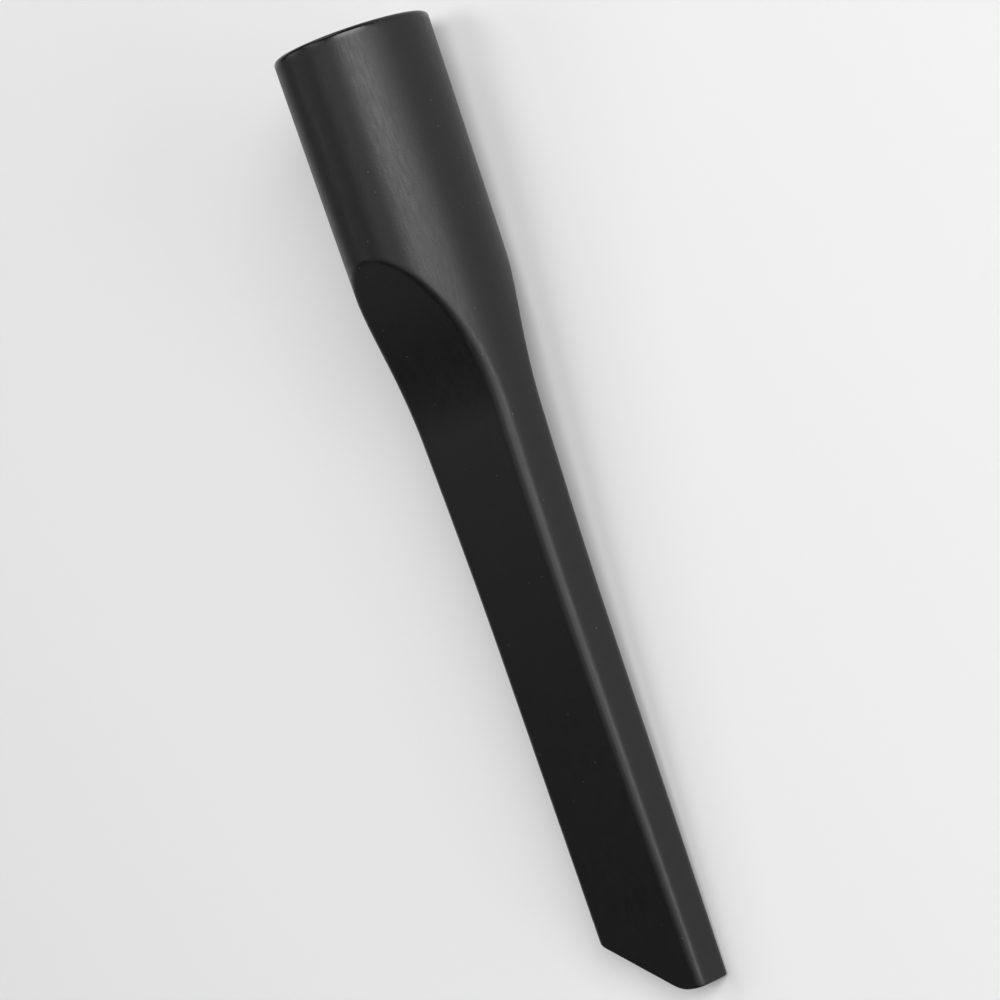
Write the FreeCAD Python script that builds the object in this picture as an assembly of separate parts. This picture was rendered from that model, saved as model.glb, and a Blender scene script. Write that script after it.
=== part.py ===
"""Vacuum crevice tool: one hollow plastic moulding.

A round socket pushes over a wand. Behind it the neck narrows a little across its width and scoops in
deeply through its thickness, down to a slim blade whose open tip is cut on a slant with a short square nose.

The tool is drawn along +X, from the mouth of the socket at the origin to the tip, with its width along Y and
its thickness along Z. It is then laid down as it comes to rest: on the crest where the socket's underside
ends and on the lower edge of the slanted tip. Sizes are millimetres.
"""

import FreeCAD, Part
import math
import os

from FreeCAD import Placement, Rotation, Vector

# Socket
bore_diameter = 32.0
bore_depth = 46.0
wall = 2.0
barrel_draft = math.radians(0.55)
rim_round = 1.0
lead_in = 0.4

# Neck, seen on the wide face
neck_start = 35.0
neck_end = 140.0

# Scoops in the two wide faces
scoop_start = 49.0
blade_start = 90.0

# Blade
overall_length = 222.0
blade_thickness = 13.0
tip_thickness = 9.8
blade_width = 29.0
tip_width = 28.8
side_crown = 22.0
corner_radius = 3.0
side_wall = 2.4

# Tip
nose_width = 6.4
slant_depth = 13.6
slant_blend = 9.0

# How far the building solids run past the finished tool
overrun = 5.0

along = Vector(1, 0, 0)
across = Vector(0, 1, 0)
upward = Vector(0, 0, 1)
mouth_centre = Vector(0, 0, 0)
bore_radius = bore_diameter / 2
rim_radius = bore_radius + wall
build_end = overall_length + overrun
reach = rim_radius + overrun
nose_end = tip_width / 2 - nose_width
slant = math.atan2(slant_depth, nose_end + tip_width / 2)


def barrel_radius(x):
    """Outside radius of the tapered barrel, at a distance from the mouth."""
    return rim_radius - x * math.tan(barrel_draft)


def line_between(x, x0, value0, x1, value1):
    """Value at x on the straight line through two known points."""
    return value0 + (value1 - value0) * (x - x0) / (x1 - x0)


def blade_half_width(x):
    """Half the blade's width, tapering from the end of the neck to the tip."""
    return line_between(x, neck_end, blade_width / 2, overall_length, tip_width / 2)


def blade_half_thickness(x):
    """Half the blade's thickness, tapering from the end of the scoops to the tip."""
    return line_between(x, blade_start, blade_thickness / 2, overall_length, tip_thickness / 2)


def section_poles(x, half_width, half_height):
    """The nine poles of an ellipse across the tool, starting at the middle of a narrow side."""
    corners = [(1, 0), (1, 1), (0, 1), (-1, 1), (-1, 0), (-1, -1), (0, -1), (1, -1), (1, 0)]
    return [Vector(x, half_width * y, half_height * z) for y, z in corners]


def neck_rows():
    """Control sections of the neck and blade: two on the barrel's taper, then four on the blade's."""
    neck_third = (neck_end - neck_start) / 3
    blade_third = (build_end - neck_end) / 3
    rows = []
    for x in (neck_start, neck_start + neck_third):
        radius = barrel_radius(x)
        rows.append(section_poles(x, radius, radius))
    for x in (neck_end - neck_third, neck_end + blade_third, neck_end + 2 * blade_third, build_end):
        half_width = blade_half_width(x)
        half_height = math.sqrt(half_width * side_crown)
        rows.append(section_poles(x, half_width, half_height))
    return rows


def neck_solid():
    """Round at the barrel, running smoothly into the crowned narrow sides of the blade."""
    rows = neck_rows()
    corner_weight = math.sqrt(0.5)
    weights = [[1, corner_weight] * 4 + [1]] * len(rows)
    # Cubic along the tool, with one smooth joint at the neck's end; round it, one true arc for each quarter
    cubic = 3
    quadratic = 2
    surface = Part.BSplineSurface()
    surface.buildFromPolesMultsKnots(
        rows, [cubic + 1, cubic - 1, cubic + 1], [quadratic + 1] + [quadratic] * 3 + [quadratic + 1],
        [neck_start, neck_end, build_end], [0, 1, 2, 3, 4],
        False, False, cubic, quadratic, weights,
    )
    tube = surface.toShape()
    ends = [edge for edge in tube.Edges if edge.BoundBox.XLength < overrun and edge.BoundBox.YLength > wall]
    caps = [Part.Face(Part.Wire(edge)) for edge in ends]
    shell = Part.makeShell([tube] + caps)
    shell.sewShape()
    return Part.Solid(shell)


def scoop_profile(inset):
    """Side view of the thickness: full height at the barrel, a concave arc, then the tapering blade."""
    fall = blade_half_thickness(build_end) - blade_half_thickness(blade_start)
    slope = math.atan2(fall, build_end - blade_start)
    outward = Vector(-math.sin(slope), 0, math.cos(slope))
    touch = Vector(blade_start, 0, blade_half_thickness(blade_start))
    crest = Vector(scoop_start, 0, barrel_radius(scoop_start))
    chord = crest - touch
    scoop_radius = chord.dot(chord) / (2 * chord.dot(outward))
    centre = touch + outward * scoop_radius
    radius = scoop_radius + inset
    foot = touch - outward * inset
    head = Vector(centre.x - math.sqrt(radius ** 2 - (centre.z - reach) ** 2), 0, reach)
    middle = centre + ((foot - centre) + (head - centre)).normalize() * radius
    tip = foot + Vector(math.cos(slope), 0, math.sin(slope)) * (build_end - foot.x) / math.cos(slope)
    mouth = Vector(-overrun, 0, reach)

    def below(point):
        return Vector(point.x, 0, -point.z)

    edges = [
        Part.LineSegment(mouth, head),
        Part.Arc(head, middle, foot),
        Part.LineSegment(foot, tip),
        Part.LineSegment(tip, below(tip)),
        Part.LineSegment(below(tip), below(foot)),
        Part.Arc(below(foot), below(middle), below(head)),
        Part.LineSegment(below(head), below(mouth)),
        Part.LineSegment(below(mouth), mouth),
    ]
    return Part.Face(Part.Wire([edge.toShape() for edge in edges]))


def scooped(solid, inset):
    """The solid, scooped down to the blade on both wide faces."""
    slab = scoop_profile(inset).extrude(across * 2 * reach)
    slab.translate(across * -reach)
    return solid.common(slab)


def rounded_neck():
    """The neck and blade as seen from outside, with long edges and arched creases rounded."""
    form = scooped(neck_solid(), 0)
    creases = []
    for edge in form.Edges:
        faces = form.ancestorsOfType(edge, Part.Face)
        kinds = [type(face.Surface) for face in faces]
        if kinds.count(Part.BSplineSurface) == 1 and edge.BoundBox.XLength > overrun:
            creases.append(edge)
    return form.makeFillet(corner_radius, creases)


def rounded_barrel():
    """The barrel as seen from outside, with the rim's outer edge rounded."""
    form = Part.makeCone(rim_radius, barrel_radius(neck_start), neck_start, mouth_centre, along)
    rim = [edge for edge in form.Edges if edge.BoundBox.XMax < rim_round]
    return form.makeFillet(rim_round, rim)


def tip_waste():
    """What the slanted cut takes off: nose square to the axis, a round blend, then the slant."""
    blend_run = slant_blend * math.tan(slant / 2)
    back = Vector(-math.sin(slant), -math.cos(slant), 0)
    start = Vector(overall_length, reach, -reach)
    blend_start = Vector(overall_length, nose_end + blend_run, -reach)
    blend_end = Vector(overall_length, nose_end, -reach) + back * blend_run
    centre = blend_start - along * slant_blend
    blend_middle = centre + Vector(math.cos(slant / 2), -math.sin(slant / 2), 0) * slant_blend
    finish = blend_end + back * (blend_end.y + reach) / math.cos(slant)
    outer_finish = Vector(build_end + overrun, -reach, -reach)
    outer_start = Vector(build_end + overrun, reach, -reach)
    edges = [
        Part.LineSegment(start, blend_start),
        Part.Arc(blend_start, blend_middle, blend_end),
        Part.LineSegment(blend_end, finish),
        Part.LineSegment(finish, outer_finish),
        Part.LineSegment(outer_finish, outer_start),
        Part.LineSegment(outer_start, start),
    ]
    face = Part.Face(Part.Wire([edge.toShape() for edge in edges]))
    return face.extrude(upward * 2 * reach)


def duct_outline():
    """Plan of the duct: straight along the barrel's taper, a smooth neck, then straight down the blade."""
    neck_third = (neck_end - neck_start) / 3
    curve = Part.BezierCurve()
    curve.setPoles([
        Vector(neck_start, barrel_radius(neck_start) - side_wall, 0),
        Vector(neck_start + neck_third, barrel_radius(neck_start + neck_third) - side_wall, 0),
        Vector(neck_end - neck_third, blade_half_width(neck_end - neck_third) - side_wall, 0),
        Vector(neck_end, blade_half_width(neck_end) - side_wall, 0),
    ])
    mouth = Vector(0, rim_radius - side_wall, 0)
    tip = Vector(build_end, blade_half_width(build_end) - side_wall, 0)
    side = [
        Part.LineSegment(mouth, curve.StartPoint).toShape(),
        curve.toShape(),
        Part.LineSegment(curve.EndPoint, tip).toShape(),
    ]
    other_side = [edge.mirror(mouth_centre, across) for edge in side]
    ends = [Part.makeLine(point, Vector(point.x, -point.y, 0)) for point in (mouth, tip)]
    return Part.Face(Part.Wire(Part.__sortEdges__(side + other_side + ends)))


def duct():
    """The air's way through: round behind the socket, then flat-sided down to the tip."""
    far_radius = barrel_radius(build_end) - wall
    round_duct = Part.makeCone(bore_radius, far_radius, build_end, mouth_centre, along)
    flat_duct = duct_outline().extrude(upward * 2 * reach)
    flat_duct.translate(upward * -reach)
    return scooped(round_duct.common(flat_duct), wall)


def crevice_tool():
    """Outer form, hollowed by the duct, bored for the wand and cut at the tip."""
    outside = rounded_barrel().fuse(rounded_neck())
    bore = Part.makeCylinder(bore_radius, bore_depth, mouth_centre, along)
    flare = Part.makeCone(bore_radius + lead_in, bore_radius, lead_in, mouth_centre, along)
    return outside.cut(duct()).cut(bore).cut(flare).cut(tip_waste())


def laid_down(tool):
    """The tool at rest on its two lowest places: the scoop's crest and the whole slanted edge of the tip."""
    span = overall_length - scoop_start
    crest_radius = barrel_radius(scoop_start)
    tip_half = tip_thickness / 2
    lean = math.tan(slant) * (crest_radius - tip_half) / (span - math.tan(slant) * nose_end)
    roll = math.asin(lean)
    tilt = math.atan2(crest_radius - tip_half * math.cos(roll) + nose_end * math.sin(roll), span)
    rest = Rotation(across, math.degrees(tilt)).multiply(Rotation(along, math.degrees(roll)))
    tool.Placement = Placement(mouth_centre, rest)
    return tool


tool = laid_down(crevice_tool())
os.makedirs("parts", exist_ok=True)
tool.exportStep("parts/crevice_tool.step")
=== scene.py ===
# %% [markdown]
# A crevice tool is the slim nozzle that reaches between cushions and along skirting boards. It is one
# hollow moulding: a round socket that pushes over the wand, a neck that is scooped away on both wide
# faces, and a flat blade, open at a slanted tip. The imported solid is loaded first, because its box and its
# place fix the size and the place of everything that follows.

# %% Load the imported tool
import math

import bmesh
import bpy
from mathutils import Matrix, Vector


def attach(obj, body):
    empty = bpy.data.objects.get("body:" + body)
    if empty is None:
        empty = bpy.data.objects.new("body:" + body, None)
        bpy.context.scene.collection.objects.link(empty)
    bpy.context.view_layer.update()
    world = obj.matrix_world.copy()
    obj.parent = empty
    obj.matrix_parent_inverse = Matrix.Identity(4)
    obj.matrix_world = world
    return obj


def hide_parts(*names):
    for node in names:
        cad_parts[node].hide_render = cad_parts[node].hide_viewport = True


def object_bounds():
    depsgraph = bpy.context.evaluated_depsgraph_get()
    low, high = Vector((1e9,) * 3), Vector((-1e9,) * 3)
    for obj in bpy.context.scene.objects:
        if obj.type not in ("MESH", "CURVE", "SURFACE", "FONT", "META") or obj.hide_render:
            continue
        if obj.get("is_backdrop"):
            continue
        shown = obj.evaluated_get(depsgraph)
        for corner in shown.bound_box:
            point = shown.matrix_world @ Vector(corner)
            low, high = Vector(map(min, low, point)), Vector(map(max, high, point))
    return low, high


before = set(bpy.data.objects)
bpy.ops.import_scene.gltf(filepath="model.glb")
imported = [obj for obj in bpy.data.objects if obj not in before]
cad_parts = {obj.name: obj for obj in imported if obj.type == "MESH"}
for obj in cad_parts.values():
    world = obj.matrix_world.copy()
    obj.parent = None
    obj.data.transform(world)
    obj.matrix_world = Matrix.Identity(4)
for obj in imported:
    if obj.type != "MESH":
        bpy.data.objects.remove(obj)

cad_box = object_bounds()
MM_PER_M = 1000
print("tool box in mm:", [[round(value * MM_PER_M, 1) for value in corner] for corner in cad_box])

# %% [markdown]
# The skin is made again here as a grid of four-sided faces, because the solid's own triangles fall
# unevenly along the soft arch and would show as ripples in the satin highlight. The sizes are those of the
# solid, with three finer rounds added: on the blade's corners at the tip, on the tip's edges and in the
# duct. They are millimetres along a straight axis: x runs from the mouth of the socket to the tip, y across
# the wide faces and z through the thickness.

# %% Sizes of the tool
BORE_RADIUS = 16.0
BORE_DEPTH = 46.0
WALL = 2.0
SIDE_WALL = 2.4
BARREL_DRAFT_DEGREES = 0.55
RIM_ROUND = 1.0
LEAD_IN = 0.4
NECK_START = 35.0
NECK_END = 140.0
SCOOP_START = 49.0
BLADE_START = 90.0
LENGTH = 222.0
BLADE_THICKNESS = 13.0
TIP_THICKNESS = 9.8
BLADE_WIDTH = 29.0
TIP_WIDTH = 28.8
SIDE_CROWN = 22.0
CORNER_ROUND = 3.0
TIP_CORNER_ROUND = 2.2
DUCT_ROUND = 0.8
NOSE_WIDTH = 6.4
SLANT_DEPTH = 13.6
SLANT_BLEND = 9.0
TIP_ROUND = 0.4

RIM_RADIUS = BORE_RADIUS + WALL
BARREL_TAPER = math.tan(math.radians(BARREL_DRAFT_DEGREES))
NOSE_END = TIP_WIDTH / 2 - NOSE_WIDTH
SLANT = math.atan2(SLANT_DEPTH, NOSE_END + TIP_WIDTH / 2)
print("slant of the tip, degrees:", round(math.degrees(SLANT), 1))

# %% [markdown]
# Seen from above, the tool is widest at the socket, narrows along a lazy S and then runs nearly straight.
# A maker would draw that outline with a few poles, so it becomes a small function of x. A traced row of
# points could follow it too, but no size could change it.

# %% Outline seen from above
def between(x, x0, value0, x1, value1):
    """Value at x on the straight line through two known points."""
    return value0 + (value1 - value0) * (x - x0) / (x1 - x0)


def barrel_radius(x):
    return RIM_RADIUS - x * BARREL_TAPER


def blade_half_width(x):
    return between(x, NECK_END, BLADE_WIDTH / 2, LENGTH, TIP_WIDTH / 2)


def crown_height(x):
    """Half height of the ellipse whose narrow side has the crown's radius."""
    return math.sqrt(blade_half_width(x) * SIDE_CROWN)


def s_curve(x, at_barrel, at_blade):
    """Leaves the barrel's line and joins the blade's line smoothly, as a cubic with evenly spaced poles."""
    if x <= NECK_START:
        return at_barrel(x)
    if x >= NECK_END:
        return at_blade(x)
    third = (NECK_END - NECK_START) / 3
    t = (x - NECK_START) / (NECK_END - NECK_START)
    poles = (
        at_barrel(NECK_START), at_barrel(NECK_START + third),
        at_blade(NECK_END - third), at_blade(NECK_END),
    )
    shares = ((1 - t) ** 3, 3 * t * (1 - t) ** 2, 3 * t * t * (1 - t), t ** 3)
    return sum(pole * share for pole, share in zip(poles, shares))


print("half width at the scoop's start:", round(s_curve(SCOOP_START, barrel_radius, blade_half_width), 2))

# %% [markdown]
# Seen from the side, the thickness drops from the full barrel through one concave arc to the blade, which
# it meets without a corner. Only one circle does that and also passes through the crest, so its radius is
# worked out from the two places instead of being guessed.

# %% Scoop seen from the side
def blade_half_thickness(x):
    return between(x, BLADE_START, BLADE_THICKNESS / 2, LENGTH, TIP_THICKNESS / 2)


BLADE_SLOPE = math.atan2((TIP_THICKNESS - BLADE_THICKNESS) / 2, LENGTH - BLADE_START)
CREST_RADIUS = barrel_radius(SCOOP_START)
outward = Vector((-math.sin(BLADE_SLOPE), math.cos(BLADE_SLOPE)))
scoop_foot = Vector((BLADE_START, BLADE_THICKNESS / 2))
chord = Vector((SCOOP_START, CREST_RADIUS)) - scoop_foot
SCOOP_RADIUS = chord.dot(chord) / (2 * chord.dot(outward))
scoop_centre = scoop_foot + outward * SCOOP_RADIUS
print("scoop radius in mm:", round(SCOOP_RADIUS, 1))

# %% [markdown]
# Where the scoop leaves the barrel there is a crest. On the moulding it isn't a sharp line but a small
# round, so the side outline gets a fillet there: a circle that touches the barrel's line from below and
# the scoop's arc from inside the plastic. The same outline moved inward gives the duct.

# %% Side outline with its rounded crest
FILLET_PASSES = 30


def crest_fillet(inset, radius):
    """Centre of the circle that rounds the crest, and how far along it meets the scoop."""
    reach = SCOOP_RADIUS + inset + radius
    x = SCOOP_START
    for step in range(FILLET_PASSES):
        z = barrel_radius(x) - inset - radius
        x = scoop_centre.x - math.sqrt(reach ** 2 - (scoop_centre.y - z) ** 2)
    centre = Vector((x, barrel_radius(x) - inset - radius))
    scoop_touch = centre + (scoop_centre - centre).normalized() * radius
    return centre, scoop_touch.x


def half_thickness(x, inset, radius, fillet):
    """Height of the wide face above the axis, or of the barrel where there is no wide face yet."""
    centre, scoop_touch = fillet
    if x <= centre.x:
        return barrel_radius(x) - inset
    if x < scoop_touch:
        return min(centre.y + math.sqrt(radius ** 2 - (x - centre.x) ** 2), barrel_radius(x) - inset)
    if x < BLADE_START:
        return scoop_centre.y - math.sqrt((SCOOP_RADIUS + inset) ** 2 - (x - scoop_centre.x) ** 2)
    return blade_half_thickness(x) - inset


outer_fillet = crest_fillet(0, CORNER_ROUND)
print("crest rounds from", round(outer_fillet[0].x, 2), "to", round(outer_fillet[1], 2))

# %% [markdown]
# Cut across, the tool is a round or crowned section with its top and bottom sliced flat and the four
# corners rounded, a little more sharply towards the tip. A bevel could round them afterwards, but it would
# break up the grid. So a circle is placed that touches the flat and the crown together, and its place is
# found by halving an interval.

# %% Where a corner's circle touches the crown
HALVINGS = 48


def crown_normal(angle, half_width, half_height):
    return Vector((math.cos(angle) / half_width, math.sin(angle) / half_height)).normalized()


def corner_angle(half_width, half_height, flat, radius):
    """Angle on the crown where a circle of that radius touches both the crown and the flat."""
    low = 0.0
    high = math.pi / 2
    for step in range(HALVINGS):
        middle = (low + high) / 2
        normal = crown_normal(middle, half_width, half_height)
        if half_height * math.sin(middle) - radius * normal.y < flat - radius:
            low = middle
        else:
            high = middle
    return high


tip_touch = corner_angle(TIP_WIDTH / 2, crown_height(LENGTH), TIP_THICKNESS / 2, TIP_CORNER_ROUND)
print("corner meets the crown at the tip, degrees:", round(math.degrees(tip_touch), 1))

# %% [markdown]
# One quarter of a section is enough, since the others mirror it. Its points are shared out evenly round
# the barrel and gathered on the corners along the blade, so the mesh lines run along the arch and never
# across it.

# %% One quarter of a section
CORNER_STEPS = 6
SIDE_STEPS = 10
GATHER_LENGTH = 14.0
SKIN = 0
DUCT = 1


def smooth_step(t):
    t = min(max(t, 0), 1)
    return t * t * (3 - 2 * t)


def quarter(x, depth):
    """Points from the edge of the flat, round the corner, to the middle of the narrow side.

    The depth through the wall goes from SKIN to DUCT."""
    inset = WALL * depth
    crest_round = CORNER_ROUND + (DUCT_ROUND - CORNER_ROUND) * depth
    edge_round = between(max(x, BLADE_START), BLADE_START, CORNER_ROUND, LENGTH, TIP_CORNER_ROUND)
    radius = edge_round + (DUCT_ROUND - edge_round) * depth
    half_width = s_curve(x, barrel_radius, blade_half_width) - SIDE_WALL * depth
    half_height = s_curve(x, barrel_radius, crown_height) - inset
    flat = min(half_thickness(x, inset, crest_round, crest_fillet(inset, crest_round)), half_height)
    touch = corner_angle(half_width, half_height, flat, radius)
    turn = crown_normal(touch, half_width, half_height)
    centre_y = half_width * math.cos(touch) - radius * turn.x
    corner_end = math.atan2(turn.y, turn.x)
    corner_length = radius * (math.pi / 2 - corner_end)
    side_length = (half_width + half_height) / 2 * touch
    gather = smooth_step((x - SCOOP_START) / GATHER_LENGTH)
    points = []
    for step in range(CORNER_STEPS + SIDE_STEPS + 1):
        even = (corner_length + side_length) * step / (CORNER_STEPS + SIDE_STEPS)
        if step <= CORNER_STEPS:
            placed = corner_length * step / CORNER_STEPS
        else:
            placed = corner_length + side_length * (step - CORNER_STEPS) / SIDE_STEPS
        run = even + (placed - even) * gather
        if run < corner_length:
            angle = math.pi / 2 - run / radius
            points.append((centre_y + radius * math.cos(angle), flat - radius + radius * math.sin(angle)))
        else:
            angle = touch * (1 - (run - corner_length) / side_length)
            points.append((half_width * math.cos(angle), half_height * math.sin(angle)))
    return points


blade_corner = quarter(NECK_END, SKIN)[:CORNER_STEPS + 1]
print("corner of the blade:", [tuple(round(value, 2) for value in point) for point in blade_corner])

# %% [markdown]
# A ring of points goes once round the tool: down one narrow side, across the bottom flat, up the other
# side and back across the top. On the barrel the flats have no width, so their points fall together at the
# top and bottom and are merged later, like the end of a zip.

# %% Rings of points
FLAT_STEPS = 20


def ring_of(points):
    """Mirrors a quarter into a whole ring of (y, z) pairs."""
    edge, height = points[0]
    down = points + [(y, -z) for y, z in reversed(points[:-1])]
    across = [(edge * (1 - 2 * step / FLAT_STEPS), -height) for step in range(1, FLAT_STEPS)]
    up = [(-y, z) for y, z in reversed(down)]
    back = [(-y, -z) for y, z in across]
    return down + across + up + back


def round_ring(x, radius):
    """A circle, with its points where the ring of a round section has them."""
    steps = CORNER_STEPS + SIDE_STEPS
    angles = [math.pi / 2 * (1 - step / steps) for step in range(steps + 1)]
    return [(x, y, z) for y, z in ring_of([(radius * math.cos(a), radius * math.sin(a)) for a in angles])]


def section_ring(x, depth):
    return [(x, y, z) for y, z in ring_of(quarter(x, depth))]


print("points in a ring:", len(section_ring(NECK_END, SKIN)))

# %% [markdown]
# The tip ends on a slant, with a short square nose. A cut through the finished mesh would leave slivers,
# so the rings near the tip swing round, little by little, until the last one lies along the slant.

# %% Rings at the slanted tip
SWING_START = 186.0


def tip_end(y):
    """How far the tip reaches at y: a square nose, a round blend and the slant."""
    run = SLANT_BLEND * math.tan(SLANT / 2)
    if y >= NOSE_END + run:
        return LENGTH
    if y <= NOSE_END - run * math.cos(SLANT):
        return LENGTH - (NOSE_END - y) * math.tan(SLANT)
    return LENGTH - SLANT_BLEND + math.sqrt(SLANT_BLEND ** 2 - (NOSE_END + run - y) ** 2)


def tip_ring(share, depth, short=0.0):
    """A ring on its way from the square cut where the swing starts to the slanted tip."""
    ring = []
    upright = SWING_START + (LENGTH - SWING_START) * share
    for y, z in ring_of(quarter(upright, depth)):
        x = SWING_START + (tip_end(y) - short - SWING_START) * share
        ring.append((x, y, z * blade_half_thickness(x) / blade_half_thickness(upright)))
    return ring


tip_reach = [point[0] for point in tip_ring(1, SKIN)]
print("tip from mm:", round(min(tip_reach), 1), "to mm:", round(max(tip_reach), 1))

# %% [markdown]
# The rings follow the plastic all the way round. The first half runs from the rim along the outside to the
# tip. They stand close together where the form turns quickly and far apart on straight runs, which keeps
# the mesh light and the highlight smooth.

# %% Rings along the outside
ROUND_STEPS = 5
BARREL_FIRST = 2.5
BARREL_RINGS = 16
CREST_GATHER = 1.4
SCOOP_RUN_OUT = 8.0
SCOOP_RINGS = 48
BLADE_RINGS = 20
SWING_RINGS = 8
SWING_LAST = 0.97


def spaced(start, end, count, bias=1.0):
    """Stations from start to end, without the end; a bias over 1 gathers them at the start."""
    return [start + (end - start) * (step / count) ** bias for step in range(count)]


crest_start = outer_fillet[0].x
scoop_end = BLADE_START + SCOOP_RUN_OUT
round_angles = [math.pi / 2 * step / ROUND_STEPS for step in range(ROUND_STEPS + 1)]
rings = []
for angle in round_angles:
    radius = RIM_RADIUS - RIM_ROUND * (1 - math.sin(angle))
    rings.append(round_ring(RIM_ROUND * (1 - math.cos(angle)), radius - RIM_ROUND * BARREL_TAPER))
stations = spaced(BARREL_FIRST, crest_start, BARREL_RINGS)
stations += spaced(crest_start, scoop_end, SCOOP_RINGS, CREST_GATHER)
stations += spaced(scoop_end, SWING_START, BLADE_RINGS)
for x in stations:
    rings.append(section_ring(x, SKIN))
for share in spaced(0, SWING_LAST, SWING_RINGS) + [SWING_LAST]:
    rings.append(tip_ring(share, SKIN))
print("rings outside:", len(rings))

# %% [markdown]
# The second half goes over the thin end of the wall, back through the duct to the ledge that stops the
# wand, and along the bore to the rim again. A thickened sheet would be quicker, but its wall couldn't
# follow the moulding's: the duct has its own corners, and the bore its ledge and lead-in.

# %% Rings over the tip and back inside
DUCT_SWING_FIRST = 0.94
DUCT_SWING_RINGS = 6
DUCT_BLADE_RINGS = 10
DUCT_SCOOP_RINGS = 22

tip_share = TIP_ROUND / WALL
for angle in round_angles:
    rings.append(tip_ring(1, SKIN + tip_share * (1 - math.cos(angle)), TIP_ROUND * (1 - math.sin(angle))))
for angle in reversed(round_angles):
    rings.append(tip_ring(1, DUCT - tip_share * (1 - math.cos(angle)), TIP_ROUND * (1 - math.sin(angle))))
for share in spaced(DUCT_SWING_FIRST, 0, DUCT_SWING_RINGS):
    rings.append(tip_ring(share, DUCT))
stations = spaced(SWING_START, BLADE_START, DUCT_BLADE_RINGS)
stations += spaced(BLADE_START, BORE_DEPTH, DUCT_SCOOP_RINGS)
for x in stations + [BORE_DEPTH]:
    rings.append(section_ring(x, DUCT))
for x in (BORE_DEPTH, BORE_DEPTH - LEAD_IN, BORE_DEPTH * 2 / 3, BORE_DEPTH / 3, LEAD_IN * 2, LEAD_IN):
    rings.append(round_ring(x, BORE_RADIUS))
rings.append(round_ring(0, BORE_RADIUS + LEAD_IN))
print("rings in all:", len(rings))

# %% [markdown]
# The tool can't stand, so it lies: on the crest under the socket and on the lower edge of the slanted tip.
# It is turned by the same two angles as the solid: a roll that lays the slanted edge flat and a tilt that
# brings it to the floor. Both follow from where the two places are.

# %% Lay the tool down
span = LENGTH - SCOOP_START
slant_rate = math.tan(SLANT)
roll = math.asin(slant_rate * (CREST_RADIUS - TIP_THICKNESS / 2) / (span - slant_rate * NOSE_END))
drop = CREST_RADIUS - TIP_THICKNESS / 2 * math.cos(roll) + NOSE_END * math.sin(roll)
tilt = math.atan2(drop, span)
laid = Matrix.Rotation(tilt, 3, "Y") @ Matrix.Rotation(roll, 3, "X")
print("roll and tilt in degrees:", round(math.degrees(roll), 2), round(math.degrees(tilt), 2))

# %% [markdown]
# Each ring is joined to the next by four-sided faces, and the last ring to the first, so the wall closes
# on itself. The points are changed to metres on the way, and those that fall together on the barrel are
# merged.

# %% Make the mesh
MERGE_DISTANCE = 1e-6

tool_mesh = bpy.data.meshes.new("crevice_tool_skin")
build = bmesh.new()
grid = [[build.verts.new(laid @ Vector(point) / MM_PER_M) for point in ring] for ring in rings]
columns = len(grid[0])
for row, ring in enumerate(grid):
    following = grid[(row + 1) % len(grid)]
    for column in range(columns):
        beside = (column + 1) % columns
        build.faces.new((ring[column], following[column], following[beside], ring[beside]))
bmesh.ops.remove_doubles(build, verts=build.verts, dist=MERGE_DISTANCE)
bmesh.ops.recalc_face_normals(build, faces=build.faces)
build.to_mesh(tool_mesh)
build.free()
tool_mesh.shade_smooth()
print("faces:", len(tool_mesh.polygons))

# %% [markdown]
# The skin now takes the place of the solid. Normals weighted by area keep the large faces flat beside the
# small rounds, so the sheen on the wide faces has no waves.

# %% Put the skin in the solid's place
tool = bpy.data.objects.new("crevice_tool_skin", tool_mesh)
bpy.context.collection.objects.link(tool)
even_normals = tool.modifiers.new("even_normals", "WEIGHTED_NORMAL")
even_normals.keep_sharp = True
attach(tool, "root")
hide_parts("crevice_tool")
print("piece:", tool.name)

# %% [markdown]
# The tool is moulded in black polypropylene, and the steel mould had a fine matt texture. That gives the
# eye a deep black with a broad, soft highlight. A painted picture could carry such a finish, but only for
# one light, so it is worked out by nodes, which answer to any light. Two helpers come first: one turns
# colours to linear, and one adds a node with its settings and links.

# %% A function for colours and one for nodes
MOULDED_BLACK = "#060506"


def linear(hex_colour):
    """An sRGB hex colour as linear red, green, blue and alpha."""
    channels = [int(hex_colour[i:i + 2], 16) / 255 for i in (1, 3, 5)]
    return [c / 12.92 if c <= 0.04045 else ((c + 0.055) / 1.055) ** 2.4 for c in channels] + [1.0]


def add_node(tree, kind, settings=None, **links):
    """Adds a node. Settings go to its properties or sockets, and links name the sockets that they feed."""
    node = tree.nodes.new(kind)
    for name, value in (settings or {}).items():
        if name in node.inputs:
            node.inputs[name].default_value = value
        else:
            setattr(node, name, value)
    for name, source in links.items():
        tree.links.new(source, node.inputs[name.replace("_", " ")])
    return node


print("moulded black in linear light:", [round(value, 4) for value in linear(MOULDED_BLACK)[:3]])

# %% [markdown]
# Hands, wands and corners rub the moulding, so its gloss isn't even. Faint scuffs run along the tool, and
# the rim, which meets the wand each time, is polished. Scratches could be cut into the mesh, but they show
# only inside the highlight, so noise that is stretched along the tool is enough. The distance from the
# mouth tells where the rim is.

# %% Gloss of the satin black polypropylene
PLASTIC_IOR = 1.49
SPECULAR_LEVEL = 0.44
SCUFF_WIDTH_MM = 0.6
SCUFF_LENGTH_MM = 3.5
SCUFF_DETAIL = 3.0
NOISE_LOW = 0.3
NOISE_HIGH = 0.7
RUBBED_ROUGHNESS = 0.38
MATT_ROUGHNESS = 0.47
RIM_POLISH = 0.6

plastic = bpy.data.materials.new("satin_black_polypropylene")
plastic.use_nodes = True
tree = plastic.node_tree
shader = tree.nodes["Principled BSDF"]
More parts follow.
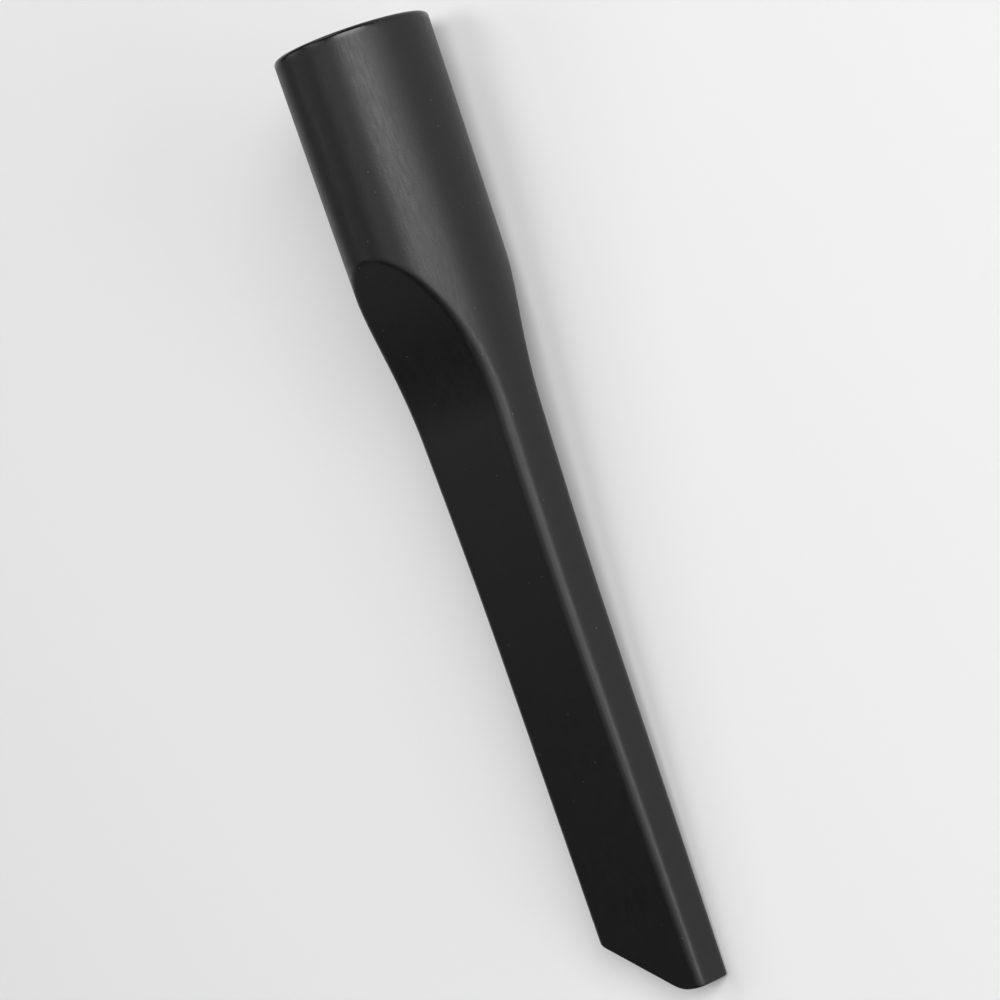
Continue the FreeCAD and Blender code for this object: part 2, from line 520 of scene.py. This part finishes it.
# Polypropylene's own index. The matt texture traps part of the gloss, so the level is below the usual half.
shader.inputs["IOR"].default_value = PLASTIC_IOR
shader.inputs["Specular IOR Level"].default_value = SPECULAR_LEVEL
place = add_node(tree, "ShaderNodeTexCoord").outputs["Object"]

# The tool's own directions, in lengths and widths of a scuff
scuff_size = [size / MM_PER_M for size in (SCUFF_LENGTH_MM, SCUFF_WIDTH_MM, SCUFF_WIDTH_MM)]
drawn_out = add_node(
    tree, "ShaderNodeMapping",
    {"vector_type": "TEXTURE", "Rotation": laid.to_euler(), "Scale": scuff_size}, Vector=place,
).outputs["Vector"]
scuffs = add_node(tree, "ShaderNodeTexNoise", {"Scale": 1.0, "Detail": SCUFF_DETAIL}, Vector=drawn_out)
gloss = add_node(
    tree, "ShaderNodeMapRange",
    {"From Min": NOISE_LOW, "From Max": NOISE_HIGH, "To Min": RUBBED_ROUGHNESS, "To Max": MATT_ROUGHNESS},
    Value=scuffs.outputs["Fac"],
)
along_tool = add_node(tree, "ShaderNodeSeparateXYZ", Vector=drawn_out).outputs["X"]
rim_end = RIM_ROUND / SCUFF_LENGTH_MM
rubbed_rim = add_node(
    tree, "ShaderNodeMapRange",
    {"From Min": rim_end, "From Max": 2 * rim_end, "To Min": RIM_POLISH}, Value=along_tool,
)
roughness = add_node(tree, "ShaderNodeMath", {"operation": "MULTIPLY"})
tree.links.new(gloss.outputs["Result"], roughness.inputs[0])
tree.links.new(rubbed_rim.outputs["Result"], roughness.inputs[1])
tree.links.new(roughness.outputs["Value"], shader.inputs["Roughness"])
print("roughness:", RUBBED_ROUGHNESS, "to", MATT_ROUGHNESS, "and at the rim", RIM_POLISH, "times that")

# %% [markdown]
# Black plastic always carries a few specks of dust. Grains of mesh would be lost at this size, so a
# scatter of small grey dots in the colour stands for them. Voronoi cells spread the dots without any
# pattern.

# %% Dust on the black
SPECK_RADIUS_MM = 0.2
SPECK_SPACING_MM = 4.0
DUST_GREY = "#6a6866"

dots = add_node(tree, "ShaderNodeTexVoronoi", {"Scale": MM_PER_M / SPECK_SPACING_MM}, Vector=place)
dust = add_node(
    tree, "ShaderNodeMapRange",
    {"From Min": SPECK_RADIUS_MM / SPECK_SPACING_MM, "From Max": 0.0}, Value=dots.outputs["Distance"],
)
colour = add_node(
    tree, "ShaderNodeMix",
    {"data_type": "RGBA", "A": linear(MOULDED_BLACK), "B": linear(DUST_GREY)}, Factor=dust.outputs["Result"],
)
tree.links.new(colour.outputs["Result"], shader.inputs["Base Color"])
print("specks of mm:", 2 * SPECK_RADIUS_MM, "about every mm:", SPECK_SPACING_MM)

# %% [markdown]
# The mould's texture is a relief of tiny pits, which breaks up the edge of the highlight. As mesh it would
# take millions of faces, so a bump from noise tilts the light instead.

# %% Relief of the mould's texture
# The real pits are finer than 0.1 mm and couldn't show, so the grain is drawn coarser.
GRAIN_MM = 0.5
GRAIN_DETAIL = 2.0
RELIEF_MM = 0.03
RELIEF_STRENGTH = 0.6

grain_settings = {"Scale": MM_PER_M / GRAIN_MM, "Detail": GRAIN_DETAIL}
grain = add_node(tree, "ShaderNodeTexNoise", grain_settings, Vector=place)
relief_settings = {"Strength": RELIEF_STRENGTH, "Distance": RELIEF_MM / MM_PER_M}
relief = add_node(tree, "ShaderNodeBump", relief_settings, Height=grain.outputs["Fac"])
tree.links.new(relief.outputs["Normal"], shader.inputs["Normal"])
tool_mesh.materials.append(plastic)
print("material:", plastic.name, "with", len(tree.nodes), "nodes")

# %% [markdown]
# A product photographer lays such a tool on a sweep, a sheet of matt paper whose edge curls up behind the
# table, so that no horizon shows. A flat plane would end in a dark line, seen from low down. So the paper
# is a shallow dish here: a profile of a flat and a quarter round is turned about the middle of the tool.

# %% Floor
FLAT_RADIUS = 2.3
FLOOR_RADIUS = 2.6
SWEEP_RADIUS = 0.6
SWEEP_STEPS = 8
TURN_STEPS = 72

floor_level = cad_box[0][2]
tool_middle = (cad_box[0][0] + cad_box[1][0]) / 2
profile = [(FLAT_RADIUS, 0.0), (FLOOR_RADIUS, 0.0)]
for step in range(1, SWEEP_STEPS + 1):
    angle = math.pi / 2 * step / SWEEP_STEPS
    profile.append((FLOOR_RADIUS + SWEEP_RADIUS * math.sin(angle), SWEEP_RADIUS * (1 - math.cos(angle))))

turns = [2 * math.pi * step / TURN_STEPS for step in range(TURN_STEPS)]
sweep_points = [
    (tool_middle + radius * math.cos(turn), radius * math.sin(turn), floor_level + height)
    for radius, height in profile for turn in turns
]
sweep_faces = [tuple(range(TURN_STEPS))]
for row in range(len(profile) - 1):
    for step in range(TURN_STEPS):
        beside = (step + 1) % TURN_STEPS
        low = row * TURN_STEPS
        high = low + TURN_STEPS
        sweep_faces.append((low + step, high + step, high + beside, low + beside))
floor_mesh = bpy.data.meshes.new("studio_floor")
floor_mesh.from_pydata(sweep_points, [], sweep_faces)
floor_mesh.shade_smooth()
floor = bpy.data.objects.new("studio_floor", floor_mesh)
bpy.context.collection.objects.link(floor)
floor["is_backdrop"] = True
print("floor at mm:", round(floor_level * MM_PER_M, 2))

# %% [markdown]
# The sheet is matt white paper, pressed smooth and left uncoated. It gives the eye an even white that
# carries the tool's soft shadow and no gloss, so one pale colour with a high roughness is enough.

# %% Matt white paper
PAPER_WHITE = "#f2f2f2"
PAPER_ROUGHNESS = 0.9

paper = bpy.data.materials.new("matt_white_paper")
paper.use_nodes = True
paper_shader = paper.node_tree.nodes["Principled BSDF"]
paper_shader.inputs["Base Color"].default_value = linear(PAPER_WHITE)
paper_shader.inputs["Roughness"].default_value = PAPER_ROUGHNESS
floor_mesh.materials.append(paper)
print("floor material:", paper.name)

# %% [markdown]
# The camera looks down on the tool from the side of its long edge, turned so that the socket is at the top
# of the picture. A wide lens close up would swell the near end, so a long one stands three quarters of a
# metre away.

# %% Camera
LENS_MM = 126.6
SENSOR_MM = 36.0
CAMERA_AZIMUTH = 176.65
CAMERA_ELEVATION = 43.465
CAMERA_ROLL = -103.36
CAMERA_DISTANCE = 0.77825
CAMERA_AIM = Vector((0.10724, -0.00119, -0.007))

azimuth = math.radians(CAMERA_AZIMUTH)
elevation = math.radians(CAMERA_ELEVATION)
back = Vector((
    math.sin(azimuth) * math.cos(elevation),
    -math.cos(azimuth) * math.cos(elevation),
    math.sin(elevation),
))
camera_data = bpy.data.cameras.new("camera")
camera_data.lens = LENS_MM
camera_data.sensor_width = SENSOR_MM
camera = bpy.data.objects.new("camera", camera_data)
bpy.context.collection.objects.link(camera)
level = (-back).to_track_quat("-Z", "Y").to_matrix()
turned = level @ Matrix.Rotation(math.radians(CAMERA_ROLL), 3, "Z")
camera.matrix_world = Matrix.Translation(CAMERA_AIM + back * CAMERA_DISTANCE) @ turned.to_4x4()
bpy.context.scene.camera = camera
print("camera at mm:", [round(value * MM_PER_M) for value in camera.location])

# %% [markdown]
# The studio round the table is dark, so that black stays black. A picture of a room could light the tool
# as well, but the highlights have to fall where the photographer puts them. So only a trace of light comes
# from all round, and the panels of the next step do the rest.

# %% Dark surround
STUDIO_WHITE = "#ffffff"
SURROUND_STRENGTH = 0.01

scene = bpy.context.scene
scene.view_settings.view_transform = "Standard"
world = bpy.data.worlds.new("studio")
world.use_nodes = True
surround = world.node_tree.nodes["Background"]
surround.inputs["Color"].default_value = linear(STUDIO_WHITE)
surround.inputs["Strength"].default_value = SURROUND_STRENGTH
scene.world = world
print("strength of the surround:", SURROUND_STRENGTH)

# %% [markdown]
# The light is that of a plain product shot, with large soft panels set round the tool as round a table.
# The tall soft box beside the camera draws the broad highlight down the barrel, and a low strip carries it
# on along the ridge. A panel overhead softens the barrel's upper side, and two dim ones beyond the tool
# give the wide face its faint sheen, which dies away towards the tip. One more, past the socket's end,
# puts the glint on the rim.

# %% Soft panels
def add_panel(name, angle, along, distance, size, watts):
    """A soft panel that faces the tool. Its angle in degrees rises from the camera's side."""
    lamp = bpy.data.lights.new(name, "AREA")
    lamp.shape = "RECTANGLE"
    lamp.size = size[0]
    lamp.size_y = size[1]
    lamp.energy = watts
    panel = bpy.data.objects.new(name, lamp)
    bpy.context.collection.objects.link(panel)
    rise = math.radians(angle)
    offset = Vector((along, distance * math.cos(rise), distance * math.sin(rise)))
    panel.location = CAMERA_AIM + offset
    panel.rotation_euler = offset.to_track_quat("Z", "Y").to_euler()
    print(name, "at mm:", [round(value * MM_PER_M) for value in panel.location])


# Name, angle, metres along the tool, metres away, width and height in metres, watts
add_panel("front_soft_box", 44, -0.5, 2.6, (1.1, 1.95), 62.0)
add_panel("low_strip", 13, 0.6, 2.6, (1.5, 0.75), 26.0)
add_panel("top_panel", 98, -0.5, 2.4, (0.7, 2.4), 13.0)
add_panel("back_panel", 136, -0.5, 2.6, (1.1, 1.3), 6.0)
add_panel("far_panel", 145, 1.5, 2.6, (0.9, 0.65), 1.5)
add_panel("end_panel", 110, -2.4, 1.1, (1.2, 0.9), 9.0)

# %% [markdown]
# The skin stands for the solid wherever the part is used, so it may not outgrow it. How far it stays
# inside is printed.

# %% Compare the boxes and finish
skin_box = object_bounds()
low_spare = [round((skin - solid) * MM_PER_M, 3) for skin, solid in zip(skin_box[0], cad_box[0])]
high_spare = [round((solid - skin) * MM_PER_M, 3) for skin, solid in zip(skin_box[1], cad_box[1])]
print("skin inside the solid's box, in mm:", low_spare, high_spare)
